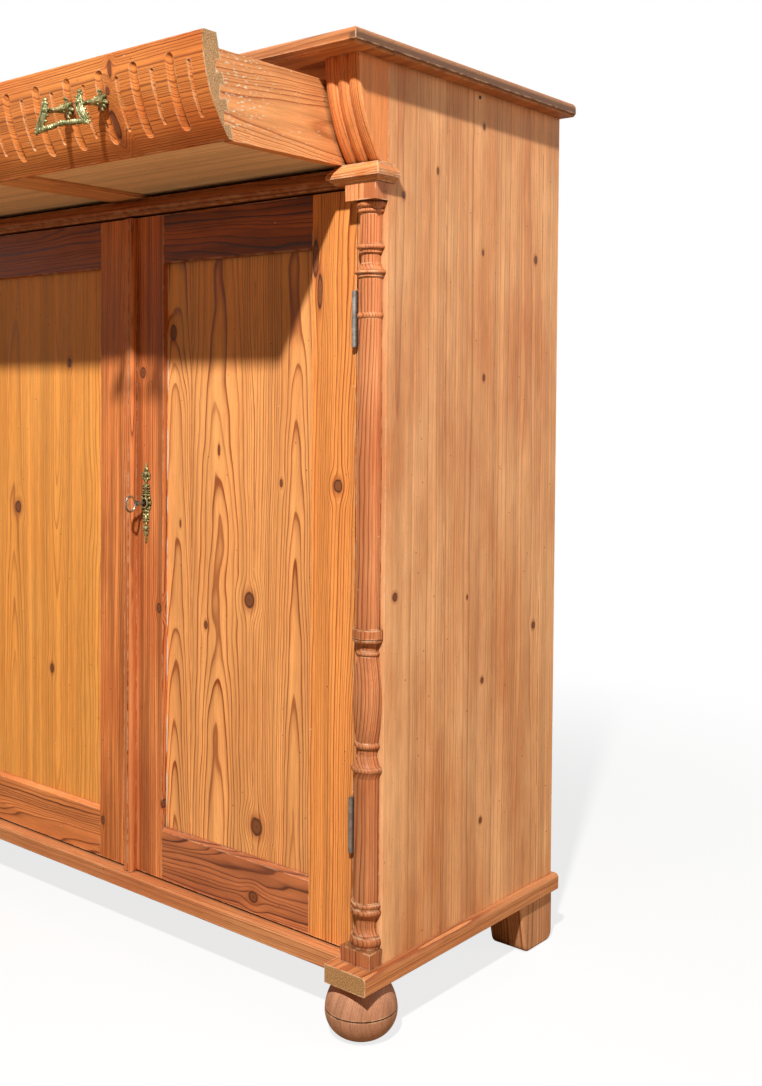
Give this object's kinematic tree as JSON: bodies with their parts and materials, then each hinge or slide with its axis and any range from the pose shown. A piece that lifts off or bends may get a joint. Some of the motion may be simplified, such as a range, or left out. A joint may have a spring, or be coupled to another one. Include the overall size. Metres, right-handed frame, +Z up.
{
  "type": "cupboard with drawer",
  "caption": "Free-standing pine cupboard with two panelled doors, a curved fluted drawer over them, turned half columns, bun feet in front and block feet behind.",
  "frame": {"origin": "on the floor, in the mirror plane, under the middle of the cupboard as it stands with its drawer pulled out", "axes": "+X to the right seen from the front, +Y to the back, +Z up; the doors and the drawer face -Y"},
  "size_m": [1.066, 0.7087, 1.271],
  "materials": {
    "front_pine": "satin",
    "side_pine": "satin",
    "panel_pine": "satin",
    "turned_pine": "satin",
    "base_pine": "satin",
    "foot_pine": "satin",
    "inner_pine": "matte",
    "pull_brass": "tarnished",
    "old_brass": "tarnished",
    "hinge_steel": "worn",
    "dark_steel": "worn"
  },
  "bodies": {
    "carcass": {"top_board": "front_pine", "side_panel_right": "side_pine", "side_panel_left": "side_pine", "corner_posts": "front_pine", "column_right": "turned_pine", "column_left": "turned_pine", "capitals": "turned_pine", "frieze_bracket_right": "front_pine", "frieze_bracket_left": "front_pine", "drawer_rail": "turned_pine", "dust_board": "inner_pine", "drawer_runners": "inner_pine", "cupboard_floor": "inner_pine", "back_boards": "inner_pine", "shelves": "inner_pine", "shelf_cleats": "inner_pine", "door_stop": "inner_pine", "frame_nails": "dark_steel", "base_side_board_right": "base_pine", "base_side_board_left": "base_pine", "base_front_board": "base_pine", "base_back_rail": "inner_pine", "bun_foot_right": "foot_pine", "bun_foot_left": "foot_pine", "block_feet": "foot_pine", "post_hinge_leaves": "hinge_steel", "post_hinge_screws": "hinge_steel", "hinge_pins": "hinge_steel"},
    "drawer": {"drawer_front": "front_pine", "drawer_side_right": "inner_pine", "drawer_side_left": "inner_pine", "drawer_back": "inner_pine", "drawer_muntin": "inner_pine", "drawer_bottoms": "inner_pine", "pull_posts": "pull_brass", "pull_nuts": "dark_steel"},
    "bail_right_body": {"bail_right": "pull_brass"},
    "bail_left_body": {"bail_left": "pull_brass"},
    "right_door": {"right_closing_stile": "front_pine", "right_hinge_stile": "front_pine", "right_top_rail": "front_pine", "right_bottom_rail": "front_pine", "right_panel": "panel_pine", "astragal": "front_pine", "escutcheon": "old_brass", "lock_case": "dark_steel", "right_hinge_leaves": "hinge_steel", "right_hinge_screws": "hinge_steel"},
    "key_body": {"key": "dark_steel"},
    "lock_bolt_body": {"lock_bolt": "dark_steel"},
    "left_door": {"left_closing_stile": "front_pine", "left_hinge_stile": "front_pine", "left_top_rail": "front_pine", "left_bottom_rail": "front_pine", "left_panel": "panel_pine", "striker_plate": "dark_steel", "left_bolt_plate": "dark_steel", "left_hinge_leaves": "hinge_steel", "left_hinge_screws": "hinge_steel"},
    "left_bolt_body": {"left_bolt": "dark_steel"}
  },
  "joints": [
    {"name": "drawer_slide", "type": "slide", "parent": "carcass", "child": "drawer", "axis": [0, -1, 0], "range_m": [-0.2, 0.1]},
    {"name": "bail_right_swing", "type": "hinge", "parent": "drawer", "child": "bail_right_body", "pos_m": [0.226, -0.3465, 1.1814], "axis": [-1, 0, 0], "range_deg": [-30, 70]},
    {"name": "bail_left_swing", "type": "hinge", "parent": "drawer", "child": "bail_left_body", "pos_m": [-0.226, -0.3465, 1.1814], "axis": [-1, 0, 0], "range_deg": [-30, 70]},
    {"name": "right_door_hinge", "type": "hinge", "parent": "carcass", "child": "right_door", "pos_m": [0.45575, -0.0685, 0.6], "axis": [0, 0, 1], "range_deg": [0, 95]},
    {"name": "left_door_hinge", "type": "hinge", "parent": "carcass", "child": "left_door", "pos_m": [-0.45575, -0.0685, 0.6], "axis": [0, 0, -1], "range_deg": [0, 95]},
    {"name": "key_turn", "type": "hinge", "parent": "right_door", "child": "key_body", "pos_m": [0.041, -0.064, 0.667], "axis": [0, -1, 0], "range_deg": [0, 180]},
    {"name": "lock_bolt_throw", "type": "slide", "parent": "right_door", "child": "lock_bolt_body", "axis": [-1, 0, 0], "range_m": [0, 0.01]},
    {"name": "left_bolt_slide", "type": "slide", "parent": "left_door", "child": "left_bolt_body", "axis": [0, 0, 1], "range_m": [0, 0.014]}
  ],
  "couplings": [
    {"joint": "key_turn", "follows": "lock_bolt_throw", "rad_per_m": 314}
  ]
}
